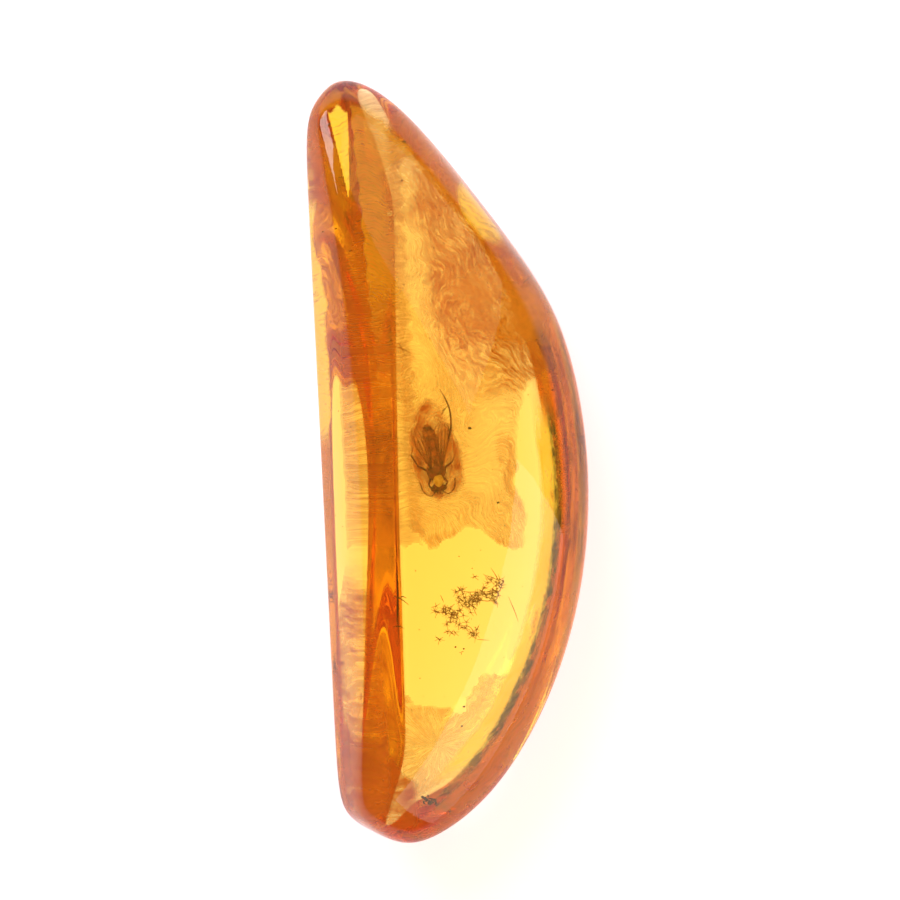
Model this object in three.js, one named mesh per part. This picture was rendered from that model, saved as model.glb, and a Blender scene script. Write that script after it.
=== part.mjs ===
// Half-moon cabochon of Baltic amber with an insect sealed in it.
// Millimetres, +Z up, long axis along +Y, origin under the middle of the stone.
// The straight cut wall faces -X and the bowed edge faces +X.
// The resin is one closed solid. What is sealed in it is clear of the surface
// and is modelled with the looks, not here.

import * as THREE from "three";

// ---- driving dimensions ----
const LENGTH = 36.0;
const WALL_LEAN_DEG = 25;        // the cut wall leans in towards the top by this much
const BLEND = 24;                // higher gives tighter rounding between two faces
const BASE_DEPTH = 0.05;         // the underside is ground flat by this much

// ---- mesh density ----
const COLUMNS = 112;             // round the outline
const BASE_ROWS = 4;             // across the flat underside
const DOME_ROWS = 23;            // from the edge of the underside to the top
const FINE_STEPS = 400;          // samples along a curve before rows are chosen on it
const TURN_WEIGHT = 2.2;         // millimetres a row is worth per radian of bend
const EVEN_PASSES = 8;           // rounds of evening out the rows between columns

// every face of the stone is measured outwards from this point inside it
const CORE = new THREE.Vector3(-0.6, -0.3, 2.4);

// ---- distance from the core to one face, along a unit direction ----
function flatFace(normal, point) {
  const n = new THREE.Vector3(...normal).normalize();
  const height = n.dot(new THREE.Vector3(...point).sub(CORE));
  return (direction) => height / Math.max(direction.dot(n), 1e-9);
}

function domedFace(centre, semiAxes) {
  const semi = new THREE.Vector3(...semiAxes);
  const start = CORE.clone().sub(new THREE.Vector3(...centre)).divide(semi);
  return (direction) => {
    const ray = direction.clone().divide(semi);
    const a = ray.dot(ray);
    const b = ray.dot(start);
    const c = start.dot(start) - 1;
    return (-b + Math.sqrt(b * b - a * c)) / a;
  };
}

// ---- the faces of the cabochon ----
function stoneFaces() {
  const lean = THREE.MathUtils.degToRad(WALL_LEAN_DEG);
  return {
    base: flatFace([0, 0, -1], [0, 0, -BASE_DEPTH]),
    wall: flatFace([-Math.cos(lean), 0, Math.sin(lean)], [-5.8, 0, 4.0]),
    undercut: flatFace([-1.2, 0.045, -1], [-2.45, 0, 0]),
    bevel: flatFace([-1, 0.045, 1.35], [-4.6, 0, 6.6]),
    crown: domedFace([-6.5, -0.5, -11], [28, 38, 18.75]),
    bow: domedFace([-9.5, -1.0, 2.8], [15.8, 19.85, 5.3]),
    belly: domedFace([-9.5, -0.75, 9], [19.08, 23.7, 11.74]),
    flank: flatFace([0.83, 0.556, 0.16], [2.1, 11.75, 1.2]),
    tip: flatFace([-0.1, 1, -0.7], [-4.0, 18.3, 3.6]),
    shoulder: flatFace([-1, 0.85, 0.25], [-4.9, 17.0, 1.3]),
    foot: flatFace([0.26, -1, -0.8], [-3, -18.0, 3.4]),
    heel: flatFace([-0.8, -1, 0.25], [-5.0, -17.15, 1.3]),
  };
}

const FACES = Object.values(stoneFaces());

// smooth minimum of all the reaches: the nearest face wins, edges come out rounded
function surfacePoint(azimuth, elevation) {
  const direction = new THREE.Vector3(
    Math.cos(azimuth) * Math.cos(elevation),
    Math.sin(azimuth) * Math.cos(elevation),
    Math.sin(elevation),
  );
  let sum = 0;
  for (const reach of FACES) {
    sum += Math.pow(reach(direction), -BLEND);
  }
  return direction.multiplyScalar(Math.pow(sum, -1 / BLEND)).add(CORE);
}

// elevation at which the surface leaves the ground plane, for one azimuth
function groundElevation(azimuth) {
  let low = -Math.PI / 2;
  let high = 0;
  for (let i = 0; i < 40; i += 1) {
    const middle = (low + high) / 2;
    if (surfacePoint(azimuth, middle).z < 0) {
      low = middle;
    } else {
      high = middle;
    }
  }
  return high;
}

// values between first and last, closer together where the curve bends
function spread(curve, first, last, count) {
  const points = [];
  for (let i = 0; i <= FINE_STEPS; i += 1) {
    points.push(curve(first + ((last - first) * i) / FINE_STEPS));
  }
  const measure = [0];
  let before = null;
  for (let i = 1; i <= FINE_STEPS; i += 1) {
    const step = points[i].clone().sub(points[i - 1]);
    const bend = before ? step.angleTo(before) : 0;
    measure.push(measure[i - 1] + step.length() + TURN_WEIGHT * bend);
    before = step;
  }
  const chosen = [];
  let at = 0;
  for (let row = 0; row <= count; row += 1) {
    const target = (measure[FINE_STEPS] * row) / count;
    while (at < FINE_STEPS - 1 && measure[at + 1] < target) {
      at += 1;
    }
    const part = (target - measure[at]) / (measure[at + 1] - measure[at]);
    chosen.push(first + ((last - first) * (at + part)) / FINE_STEPS);
  }
  return chosen;
}

function outlineAzimuths() {
  const girdle = (azimuth) => surfacePoint(azimuth, 0);
  return spread(girdle, -Math.PI, Math.PI, COLUMNS).slice(0, COLUMNS);
}

// share of the way from ground to top at which each row of one column lies
function rowShares(azimuth) {
  const ground = groundElevation(azimuth);
  const meridian = (elevation) => surfacePoint(azimuth, elevation);
  const elevations = spread(meridian, ground, Math.PI / 2, DOME_ROWS);
  return elevations.map((elevation) => (elevation - ground) / (Math.PI / 2 - ground));
}

// even the rows out between neighbouring columns, so no row jumps
function evenOut(columns) {
  let shares = columns;
  for (let pass = 0; pass < EVEN_PASSES; pass += 1) {
    const before = shares;
    shares = before.map((column, c) => {
      const left = before[(c + before.length - 1) % before.length];
      const right = before[(c + 1) % before.length];
      return column.map((share, row) => (left[row] + 2 * share + right[row]) / 4);
    });
  }
  return shares;
}

// points from next to the middle of the underside, out to its edge, up to near the top
function columnPoints(azimuth, shares) {
  const ground = groundElevation(azimuth);
  const edge = surfacePoint(azimuth, ground).setZ(0);
  const middle = new THREE.Vector3(CORE.x, CORE.y, 0);
  const points = [];
  for (let row = 1; row <= BASE_ROWS; row += 1) {
    points.push(middle.clone().lerp(edge, row / BASE_ROWS));
  }
  for (let row = 1; row < DOME_ROWS; row += 1) {
    points.push(surfacePoint(azimuth, ground + shares[row] * (Math.PI / 2 - ground)));
  }
  return points;
}

// triangles between neighbouring columns, closed by one point below and one on top
function columnFaces(columns, rows) {
  const bottom = columns * rows;
  const top = bottom + 1;
  const index = [];
  for (let c = 0; c < columns; c += 1) {
    const here = c * rows;
    const next = ((c + 1) % columns) * rows;
    index.push(bottom, next, here);
    for (let r = 0; r < rows - 1; r += 1) {
      index.push(here + r, next + r, next + r + 1);
      index.push(here + r, next + r + 1, here + r + 1);
    }
    index.push(here + rows - 1, next + rows - 1, top);
  }
  return index;
}

// put the bounding box on the ground plane, centred, LENGTH long
function settle(geometry) {
  geometry.computeBoundingBox();
  const box = geometry.boundingBox;
  const middle = box.getCenter(new THREE.Vector3());
  const scale = LENGTH / (box.max.y - box.min.y);
  geometry.translate(-middle.x, -middle.y, -box.min.z);
  geometry.scale(scale, scale, scale);
}

function amberGeometry() {
  const azimuths = outlineAzimuths();
  const shares = evenOut(azimuths.map(rowShares));
  const points = azimuths.flatMap((azimuth, c) => columnPoints(azimuth, shares[c]));
  points.push(new THREE.Vector3(CORE.x, CORE.y, 0));
  points.push(surfacePoint(0, Math.PI / 2));
  const geometry = new THREE.BufferGeometry().setFromPoints(points);
  geometry.setIndex(columnFaces(COLUMNS, BASE_ROWS + DOME_ROWS - 1));
  settle(geometry);
  geometry.computeVertexNormals();
  return geometry;
}

function amberMaterial() {
  return new THREE.MeshStandardMaterial({
    name: "amber",
    color: 0xe8951c,
    roughness: 0.08,
    metalness: 0,
  });
}

const amber = new THREE.Mesh(amberGeometry(), amberMaterial());
amber.name = "amber";

const part = new THREE.Group();
part.name = "insect_in_amber";
part.add(amber);

export default part;
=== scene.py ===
"""Insect in amber: a half-moon cabochon of clear golden amber. Sealed in it are a
small winged insect, a drift of stellate hairs, flow films, specks and plant fibres.
Shapes are written in millimetres, +Z up, and turned into metres as they are made."""
import random
from math import cos, pi, radians, sin, tan
import bpy
import numpy as np
from mathutils import Matrix, Vector


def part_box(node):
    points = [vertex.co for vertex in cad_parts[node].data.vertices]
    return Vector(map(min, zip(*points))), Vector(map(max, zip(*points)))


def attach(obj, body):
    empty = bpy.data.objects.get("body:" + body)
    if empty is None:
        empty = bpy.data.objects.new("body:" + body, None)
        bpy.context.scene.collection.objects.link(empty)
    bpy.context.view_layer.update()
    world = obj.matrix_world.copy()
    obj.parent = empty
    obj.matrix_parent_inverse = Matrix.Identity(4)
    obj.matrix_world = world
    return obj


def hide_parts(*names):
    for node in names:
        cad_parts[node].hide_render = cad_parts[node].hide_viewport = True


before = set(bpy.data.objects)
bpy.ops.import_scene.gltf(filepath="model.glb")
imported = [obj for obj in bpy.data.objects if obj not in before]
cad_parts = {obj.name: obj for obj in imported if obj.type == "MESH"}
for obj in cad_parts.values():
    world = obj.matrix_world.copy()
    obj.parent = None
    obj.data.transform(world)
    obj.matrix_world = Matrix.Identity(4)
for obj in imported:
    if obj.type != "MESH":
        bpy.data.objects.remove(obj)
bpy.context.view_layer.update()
MM = 0.001
TAU = 2 * pi


# ---- mesh helpers
def strip(s, t, sides, rows, start=0):
    """The faces between columns s and t of a form whose rows have the given number of sides."""
    lows = [start + k * sides for k in range(rows)]
    return [[low + s, low + t, low + sides + t, low + sides + s] for low in lows]


class Shape:
    """Points in millimetres and faces, gathered from several simple forms."""

    def __init__(self):
        self.points = []
        self.faces = []

    def add(self, points, faces):
        start = len(self.points)
        self.points.extend([float(c) for c in p] for p in points)
        self.faces.extend([[start + i for i in face] for face in faces])

    def tube(self, path, radii, sides=6):
        """A round rod along a path of points, closed at both ends by a tip point."""
        path = np.array(path, float)
        radii = np.interp(np.linspace(0, 1, len(path)), np.linspace(0, 1, len(radii)), radii)
        along = np.gradient(path, axis=0)
        along /= np.linalg.norm(along, axis=1)[:, None]
        side = np.cross(along, [0.13, 0.31, 0.94])
        side /= np.linalg.norm(side, axis=1)[:, None]
        over = np.cross(along, side)
        points = []
        for k in range(len(path)):
            for s in range(sides):
                turn = TAU * s / sides
                out = cos(turn) * side[k] + sin(turn) * over[k]
                points.append(path[k] + radii[k] * out)
        first = path[0] - along[0] * radii[0]
        last = path[-1] + along[-1] * radii[-1]
        points += [first, last]
        faces = []
        tip = len(path) * sides
        for s in range(sides):
            t = (s + 1) % sides
            faces.append([tip, t, s])
            faces += strip(s, t, sides, len(path) - 1)
            end = (len(path) - 1) * sides
            faces.append([end + s, end + t, tip + 1])
        self.add(points, faces)

    def lump(self, centre, semi_axes, unevenness=0.0, seed=0, rings=8, sides=12, turn=0.0):
        """An egg or pebble form: an ellipsoid whose surface is uneven by the given share."""
        wave_count, wave_size = 5, 2.2
        rng = np.random.default_rng(seed)
        waves = rng.normal(size=(wave_count, 3)) * wave_size
        phases = rng.uniform(0, TAU, wave_count)
        ahead, aside = cos(turn), sin(turn)
        spin = np.array([[ahead, -aside, 0], [aside, ahead, 0], [0, 0, 1]])

        def at(direction):
            swell = 1 + unevenness * np.sin(waves @ direction + phases).mean() * 2
            return np.array(centre) + spin @ (direction * semi_axes * swell)

        points = [at(np.array([0.0, 0.0, -1.0]))]
        for r in range(1, rings):
            polar = pi * r / rings
            flat = sin(polar)
            for s in range(sides):
                around = TAU * s / sides
                direction = [flat * cos(around), flat * sin(around), -cos(polar)]
                points.append(at(np.array(direction)))
        points.append(at(np.array([0.0, 0.0, 1.0])))
        top = len(points) - 1
        faces = []
        for s in range(sides):
            t = (s + 1) % sides
            faces.append([0, 1 + t, 1 + s])
            faces += strip(s, t, sides, rings - 2, 1)
            low = 1 + (rings - 2) * sides
            faces.append([low + s, low + t, top])
        self.add(points, faces)


def unit(vector):
    return vector / np.linalg.norm(vector)


def put_in_scene(thing):
    bpy.context.scene.collection.objects.link(thing)


def mesh_piece(name, points, faces, material, smooth=True):
    mesh = bpy.data.meshes.new(name)
    mesh.from_pydata((np.array(points) * MM).tolist(), [], faces)
    mesh.update()
    mesh.polygons.foreach_set("use_smooth", [smooth] * len(mesh.polygons))
    piece = bpy.data.objects.new(name, mesh)
    put_in_scene(piece)
    mesh.materials.append(material)
    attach(piece, "root")
    return piece


def shape_piece(name, shape, material, smooth=True):
    return mesh_piece(name, shape.points, shape.faces, material, smooth)


def smooth_step(value, low, high):
    """0 below low, 1 above high, and a soft step between them."""
    share = np.clip((value - low) / (high - low), 0, 1)
    return share * share * (3 - 2 * share)


def fade(value, width):
    return smooth_step(value, 0, width)


def between(value, low, low_full, high, width):
    """1 between low_full and the fade before high, and 0 outside low and high."""
    return smooth_step(value, low, low_full) * fade(high - value, width)


def soft_noise(x, y, seed, octaves=3):
    """Smooth random values between about -1 and 1, with finer and finer layers."""
    cells = 64
    table = np.random.default_rng(seed).uniform(-1, 1, (cells, cells))
    total = np.zeros(np.broadcast(x, y).shape)
    for octave in range(octaves):
        u, v = x * 2 ** octave + 17.3 * octave, y * 2 ** octave + 5.1 * octave
        i, j = np.floor(u).astype(int), np.floor(v).astype(int)
        a, b = fade(u - i, 1), fade(v - j, 1)
        left, right = i % cells, (i + 1) % cells
        low, high = j % cells, (j + 1) % cells
        near = table[left, low] * (1 - a) + table[right, low] * a
        far = table[left, high] * (1 - a) + table[right, high] * a
        total += (near * (1 - b) + far * b) / 2 ** octave
    return total


def curve_through(points, count):
    """Points evenly spread along a smooth line through a few given ones."""
    given = np.array(points, float)
    given = np.vstack([2 * given[0] - given[1], given, 2 * given[-1] - given[-2]])
    places = np.linspace(0, len(points) - 1, count)
    made = []
    for place in places:
        k = min(int(place), len(points) - 2)
        t = place - k
        a, b, c, d = given[k:k + 4]
        made.append(0.5 * (2 * b + (c - a) * t + (2 * a - 5 * b + 4 * c - d) * t * t
                           + (3 * b - a - 3 * c + d) * t ** 3))
    return np.array(made)


# ---- material helpers
class Nodes:
    """Short names for making a node material."""

    def __init__(self, name):
        self.material = bpy.data.materials.new(name)
        self.material.use_nodes = True
        self.tree = self.material.node_tree
        self.shader = self.tree.nodes["Principled BSDF"]
        self.place = self.make("ShaderNodeTexCoord").outputs["Object"]

    def make(self, kind, **settings):
        node = self.tree.nodes.new(kind)
        for key, value in settings.items():
            setattr(node, key, value)
        return node

    def put(self, socket, value):
        if isinstance(value, bpy.types.NodeSocket):
            self.tree.links.new(value, socket)
        else:
            socket.default_value = value

    def fill(self, node, **values):
        """Sets or links the named inputs of a node."""
        for name, value in values.items():
            self.put(node.inputs[name.replace("_", " ")], value)
        return node

    def math(self, operation, a, b=0.0, clamp=False):
        node = self.make("ShaderNodeMath", operation=operation, use_clamp=clamp)
        self.put(node.inputs[0], a)
        self.put(node.inputs[1], b)
        return node.outputs[0]

    def stretched(self, vector, scale, turn=0.0):
        node = self.make("ShaderNodeMapping")
        return self.fill(node, Vector=vector, Scale=scale, Rotation=(0, 0, turn)).outputs[0]

    def noise(self, vector, scale, detail=3.0, roughness=0.55, distortion=0.0):
        node = self.make("ShaderNodeTexNoise")
        self.fill(node, Vector=vector, Scale=scale, Detail=detail, Roughness=roughness,
                  Distortion=distortion)
        return node.outputs["Fac"]

    def ramp(self, factor, stops):
        node = self.make("ShaderNodeValToRGB")
        self.put(node.inputs[0], factor)
        elements = node.color_ramp.elements
        while len(elements) < len(stops):
            elements.new(0.5)
        for element, (position, colour) in zip(elements, stops):
            element.position = position
            element.color = (*colour, 1) if len(colour) == 3 else colour
        return node.outputs[0]

    def attribute(self, name, output="Fac"):
        return self.make("ShaderNodeAttribute", attribute_name=name).outputs[output]

    def bump(self, height, distance_mm, strength=1.0):
        node = self.make("ShaderNodeBump")
        self.fill(node, Height=height, Distance=distance_mm * MM, Strength=strength)
        self.fill(self.shader, Normal=node.outputs[0])

    def let_light_through(self, share, colour, alpha):
        """Mixes in light that comes through from behind, as in a thin cloudy layer."""
        behind = self.fill(self.make("ShaderNodeBsdfTranslucent"), Color=colour)
        clear = self.make("ShaderNodeBsdfTransparent")
        both = self.mixed(share, self.shader, behind)
        whole = self.mixed(alpha, clear, both)
        self.fill(self.tree.nodes["Material Output"], Surface=whole.outputs[0])
        return self.material

    def mixed(self, share, first, second):
        node = self.make("ShaderNodeMixShader")
        for socket, value in zip(node.inputs, (share, first.outputs[0], second.outputs[0])):
            self.put(socket, value)
        return node

    def set(self, **values):
        self.fill(self.shader, **values)
        return self.material


# ---- the stone
WALL_LEAN_DEG = 25
BLEND = 24  # higher gives tighter rounding between two faces
BASE_DEPTH = 0.05
CORE = np.array([-0.6, -0.3, 2.4])
CROWN_CENTRE, CROWN_RADII = (-6.5, -0.5, -11), (28, 38, 18.75)
BOW_CENTRE, BOW_RADII = (-9.5, -1.0, 2.8), (15.8, 19.85, 5.3)


def flat_face(normal, point):
    """How far a ray from the core goes before it meets a flat face."""
    n = unit(np.array(normal, float))
    height = n @ (np.array(point, float) - CORE)
    return lambda d: height / np.maximum(d @ n, 1e-9)


def domed_face(centre, semi_axes):
    """How far a ray from the core goes before it meets an ellipsoid."""
    semi = np.array(semi_axes, float)
    start = (CORE - np.array(centre, float)) / semi

    def reach(d):
        ray = d / semi
        a = (ray * ray).sum(-1)
        b = ray @ start
        c = start @ start - 1
        return (-b + np.sqrt(b * b - a * c)) / a
    return reach


def stone_faces():
    lean = radians(WALL_LEAN_DEG)
    return {
        "base": flat_face([0, 0, -1], [0, 0, -BASE_DEPTH]),
        "wall": flat_face([-cos(lean), 0, sin(lean)], [-5.8, 0, 4.0]),
        "undercut": flat_face([-1.2, 0.045, -1], [-2.45, 0, 0]),
        "bevel": flat_face([-1, 0.045, 1.35], [-4.6, 0, 6.6]),
        "crown": domed_face(CROWN_CENTRE, CROWN_RADII),
        "bow": domed_face(BOW_CENTRE, BOW_RADII),
        "belly": domed_face([-9.5, -0.75, 9], [19.08, 23.7, 11.74]),
        "flank": flat_face([0.83, 0.556, 0.16], [2.1, 11.75, 1.2]),
        "tip": flat_face([-0.1, 1, -0.7], [-4.0, 18.3, 3.6]),
        "shoulder": flat_face([-1, 0.85, 0.25], [-4.9, 17.0, 1.3]),
        "foot": flat_face([0.26, -1, -0.8], [-3, -18.0, 3.4]),
        "heel": flat_face([-0.8, -1, 0.25], [-5.0, -17.15, 1.3]),
    }


FACES = list(stone_faces().values())


def surface(azimuth, elevation):
    """Points on the stone, where the faces run into each other with a rounding."""
    d = np.stack([np.cos(azimuth) * np.cos(elevation),
                  np.sin(azimuth) * np.cos(elevation),
                  np.sin(elevation)], -1)
    total = sum(reach(d) ** -BLEND for reach in FACES)
    return CORE + d * (total ** (-1 / BLEND))[..., None]


def ground_elevation(azimuth):
    """Where the side of the stone meets the flat underside."""
    low = np.full_like(azimuth, -pi / 2)
    high = np.zeros_like(azimuth)
    halvings = 45
    for _ in range(halvings):
        middle = (low + high) / 2
        under = surface(azimuth, middle)[..., 2] < 0
        low = np.where(under, middle, low)
        high = np.where(under, high, middle)
    return high


def spread(points, count, turn_weight):
    """Positions (0 to 1) along a curve, closer together where it bends."""
    step = np.diff(points, axis=0)
    length = np.linalg.norm(step, axis=1)
    heading = step / np.maximum(length, 1e-12)[:, None]
    bend = np.arccos(np.clip((heading[1:] * heading[:-1]).sum(1), -1, 1))
    bend = np.concatenate([[0], bend])
    measure = np.concatenate([[0], np.cumsum(length + turn_weight * bend)])
    return np.interp(np.linspace(0, measure[-1], count + 1), measure,
                     np.linspace(0, 1, len(points)))


def even_out(shares, passes):
    for _ in range(passes):
        shares = (np.roll(shares, 1, 0) + 2 * shares + np.roll(shares, -1, 0)) / 4
    return shares


def stone_mesh(columns, base_rows, dome_rows):
    """Columns run from the middle of the underside to the top, rows lie along the edges."""
    turn_weight = 2.2
    round_samples, rise_samples = 2001, 401
    fine = np.linspace(-pi, pi, round_samples)
    girdle = surface(fine, np.zeros_like(fine))
    places = spread(girdle, columns, turn_weight)
    azimuths = np.interp(places, np.linspace(0, 1, round_samples), fine)[:columns]
    ground = ground_elevation(azimuths)
    shares = []
    for azimuth, low in zip(azimuths, ground):
        sweep = np.linspace(low, pi / 2, rise_samples)
        shares.append(spread(surface(np.full_like(sweep, azimuth), sweep), dome_rows, turn_weight))
    shares = even_out(np.array(shares), columns // 14)[:, 1:-1]
    elevations = ground[:, None] + shares * (pi / 2 - ground[:, None])
    dome = surface(np.repeat(azimuths[:, None], shares.shape[1], 1), elevations)
    dome[..., 2] = np.maximum(dome[..., 2], 0)
    middle = CORE * [1, 1, 0]
    edge = surface(azimuths, ground) * [1, 1, 0]
    steps = np.arange(1, base_rows + 1)[None, :, None] / base_rows
    base = middle + (edge[:, None, :] - middle) * steps
    rows = np.concatenate([base, dome], axis=1)
    top = surface(np.zeros(1), np.full(1, pi / 2))
    points = np.vstack([rows.reshape(-1, 3), [middle], top])
    height = base_rows + dome_rows - 1
    bottom = columns * height
    faces = []
    for c in range(columns):
        here = c * height
        nxt = ((c + 1) % columns) * height
        faces.append((bottom, nxt, here))
        for r in range(height - 1):
            faces.append((here + r, nxt + r, nxt + r + 1, here + r + 1))
        faces.append((here + height - 1, nxt + height - 1, bottom + 1))
    return points, faces


OUTSIDE, OUTSIDE_FACES = stone_mesh(columns=360, base_rows=10, dome_rows=110)
RAW_LOW, RAW_SIZE = OUTSIDE.min(0), np.ptp(OUTSIDE, axis=0)
BOX_LOW, BOX_HIGH = (np.array(corner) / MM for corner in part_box("amber"))


def settled(points):
    """From the stone's own measures to its place in the frame."""
    return BOX_LOW + (points - RAW_LOW) / RAW_SIZE * (BOX_HIGH - BOX_LOW)


def depth_share(points):
    """0 at the core of the stone and 1 at its surface, for points in the frame."""
    ray = RAW_LOW + (np.array(points) - BOX_LOW) / (BOX_HIGH - BOX_LOW) * RAW_SIZE - CORE
    length = np.linalg.norm(ray, axis=-1)
    d = ray / np.maximum(length, 1e-9)[..., None]
    return length * sum(reach(d) ** -BLEND for reach in FACES) ** (1 / BLEND)


def amber_material():
    made = Nodes("amber")
    waviness = made.noise(made.place, 260, 2)
    rubbed = made.stretched(made.place, (9000, 700, 2500), turn=0.9)
    scratches = made.ramp(made.noise(rubbed, 1, 1), [(0.66, (0, 0, 0)), (0.74, (1, 1, 1))])
    height = made.math("MULTIPLY_ADD", waviness, 1.0)
    made.put(height.node.inputs[2], made.math("MULTIPLY", scratches, 0.02))
    made.bump(height, 0.012)
    made.set(Base_Color=(1, 1, 1, 1), Transmission_Weight=1.0, IOR=1.54, Roughness=0.012)
    # light fades by (1 - colour) * density per metre, and lost is that rate for each colour
    density = 500
    lost = (9, 66, 360)
    colour = (*(1 - rate / density for rate in lost), 1)
    absorb = made.fill(made.make("ShaderNodeVolumeAbsorption"), Color=colour, Density=density)
    made.fill(made.tree.nodes["Material Output"], Volume=absorb.outputs[0])
    return made.material


def make_stone():
    stone = mesh_piece("amber_stone", settled(OUTSIDE), OUTSIDE_FACES, amber_material())
    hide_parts("amber")


# ---- flow films
def film_material(name, light, dark, opacity, streaks, from_behind=0.0, carried=0.0):
    """Cloudy resin: fibres drawn along the flow, with clearer resin between them.
    from_behind is the share of light let through. carried is a faint emission, which stands
    for light carried inside the resin."""
    made = Nodes(name)
    flow = made.attribute("film_flow", "Vector")
    density = made.attribute("film_cover")
    fibres = made.noise(made.stretched(flow, (*streaks, 1)), 1, 3, 0.6, 0.4)
    clouds = made.noise(made.place, 560, 5)
    grains = made.noise(made.place, 5200, 2)
    texture = made.math("ADD", made.math("MULTIPLY", fibres, 0.62),
                        made.math("ADD", made.math("MULTIPLY", clouds, 0.26),
                                  made.math("MULTIPLY", grains, 0.12)))
    cover = made.ramp(texture, [(0.36, (0.28,) * 3), (0.5, (0.72,) * 3), (0.64, (1.0,) * 3)])
    alpha = made.math("MULTIPLY", made.math("MULTIPLY", cover, density), opacity, clamp=True)
    colour = made.ramp(texture, [(0.38, light), (0.64, dark)])
    made.bump(fibres, 0.03)
    made.set(Base_Color=colour, Roughness=0.55, Specular_IOR_Level=0.2,
             Emission_Color=colour, Emission_Strength=carried)
    if from_behind:
        return made.let_light_through(from_behind, colour, alpha)
    return made.set(Alpha=alpha)


DEEPEST = 0.972  # films stop at this share of the way to the surface


def film_sheet(name, low, high, step, level, density, flow, material, wrinkle=0.05):
    """A wrinkled sheet of cloudy resin; level, density and flow are functions of x and y."""
    count = [int(round((b - a) / step)) + 1 for a, b in zip(low, high)]
    x, y = np.meshgrid(np.linspace(low[0], high[0], count[0]),
                       np.linspace(low[1], high[1], count[1]), indexing="ij")
    cover = density(x, y)
    across, along = flow(x, y)
    z = level(x, y) + wrinkle * np.sin(across * 5.0)
    points = np.stack([x, y, z], -1)
    kept = (depth_share(points) < DEEPEST) & (cover > 0.01)
    i, j = np.meshgrid(np.arange(count[0] - 1), np.arange(count[1] - 1), indexing="ij")
    corners = [(i, j), (i + 1, j), (i + 1, j + 1), (i, j + 1)]
    whole = np.all([kept[a, b] for a, b in corners], axis=0)
    index = np.stack([(a * count[1] + b)[whole] for a, b in corners], -1)
    used = np.unique(index)
    fresh = np.zeros(count[0] * count[1], int)
    fresh[used] = np.arange(len(used))
    piece = mesh_piece(name, points.reshape(-1, 3)[used], fresh[index].tolist(), material)
    rim = fade(DEEPEST - depth_share(points), 0.015)
    flows = np.stack([across, along, z], -1).reshape(-1, 3)[used]
    for word, kind, key, values in (("cover", "FLOAT", "value", (cover * rim).reshape(-1)[used]),
                                    ("flow", "FLOAT_VECTOR", "vector", flows.reshape(-1))):
        attribute = piece.data.attributes.new(f"film_{word}", kind, "POINT")
        attribute.data.foreach_set(key, values.astype(np.float32))


def patch(x, y, centre, radii, turn_deg=0.0, softness=0.35):
    """1 inside an oval and 0 outside it, with an uneven soft edge."""
    turn = radians(turn_deg)
    dx, dy = x - centre[0], y - centre[1]
    u = (dx * cos(turn) + dy * sin(turn)) / radii[0]
    v = (-dx * sin(turn) + dy * cos(turn)) / radii[1]
    edge = np.hypot(u, v) + 0.16 * soft_noise(x * 0.9, y * 0.9, 71)
    return 1 - smooth_step(edge, 1 - softness, 1 + softness)


INSECT = np.array([-1.1, 0.13, 4.4])
SWIRL = (-2.16, 3.05)  # the resin flowed in rings round this point
STAR_BURST = (-1.99, -13.12)  # fibres spread from this point at the lower end
RIM_HEIGHT = 3.3
WEDGE_Y = 12.3  # where the pale wedge comes to a point
WALL_FILM_X, WALL_FILM_Z = -5.36, 4
BOW_FILM_Z, BOW_FILM_RISE = 2.45, 4.4


def shifted(level, rise):
    return lambda x, y: level(x, y) + rise


def oval(x, y, centre, radii):
    """0 at the centre of an oval seen from above, and 1 on its outline."""
    return ((x - centre[0]) / radii[0]) ** 2 + ((y - centre[1]) / radii[1]) ** 2


def bow_share(x, y):
    return oval(x, y, BOW_CENTRE, BOW_RADII)


def bow_level(x, y):
    """A height just under the bowed edge face."""
    return BOW_FILM_Z + BOW_FILM_RISE * np.sqrt(np.clip(1 - bow_share(x, y), 0, 1))


def crown_height(x, y):
    """Height of the domed top face over the ground."""
    out = oval(x, y, CROWN_CENTRE, CROWN_RADII)
    return CROWN_CENTRE[2] + CROWN_RADII[2] * np.sqrt(np.clip(1 - out, 0, 1))


def rim_share(x, y):
    """Depth share of places at the height of the rim films."""
    return depth_share(np.stack([x, y, np.full_like(x, RIM_HEIGHT)], -1))


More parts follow.
